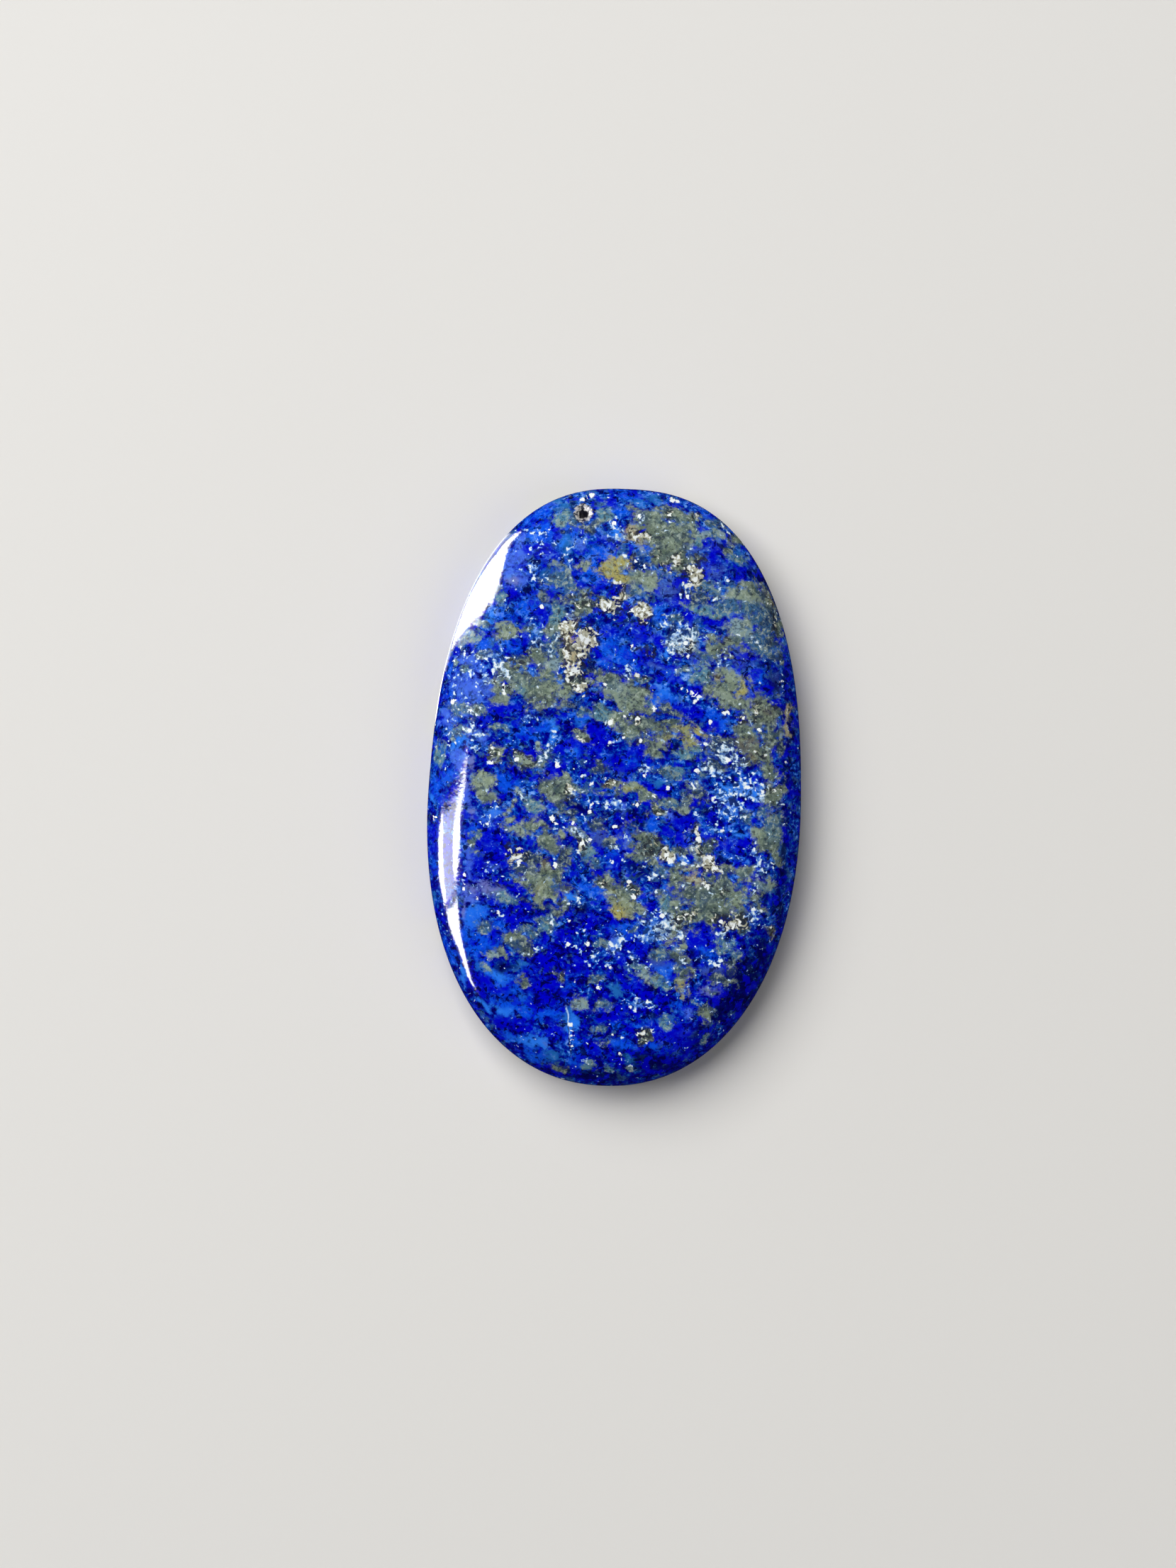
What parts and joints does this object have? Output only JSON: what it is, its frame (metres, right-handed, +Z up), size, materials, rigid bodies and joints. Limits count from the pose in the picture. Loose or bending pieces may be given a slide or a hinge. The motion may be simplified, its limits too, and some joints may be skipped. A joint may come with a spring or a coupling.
{
  "type": "polished lapis lazuli cabochon",
  "caption": "Polished oval lapis lazuli stone with a flat back, a rounded shoulder and a gently domed face, to rest on a surface or sit in a setting.",
  "frame": {"origin": "middle of the flat back, on the surface that the stone rests on", "axes": "+Z up out of the polished face, +Y along the oval towards its squarer end with the pit, +X to the right as the face is looked down on"},
  "size_m": [0.025, 0.04, 0.0056],
  "materials": {
    "lapis": "glossy polish over speckled ultramarine rock, with grey-green, yellow and pale flecks and small brassy grains"
  },
  "bodies": {
    "root": {"lapis_stone": "lapis"}
  },
  "joints": []
}
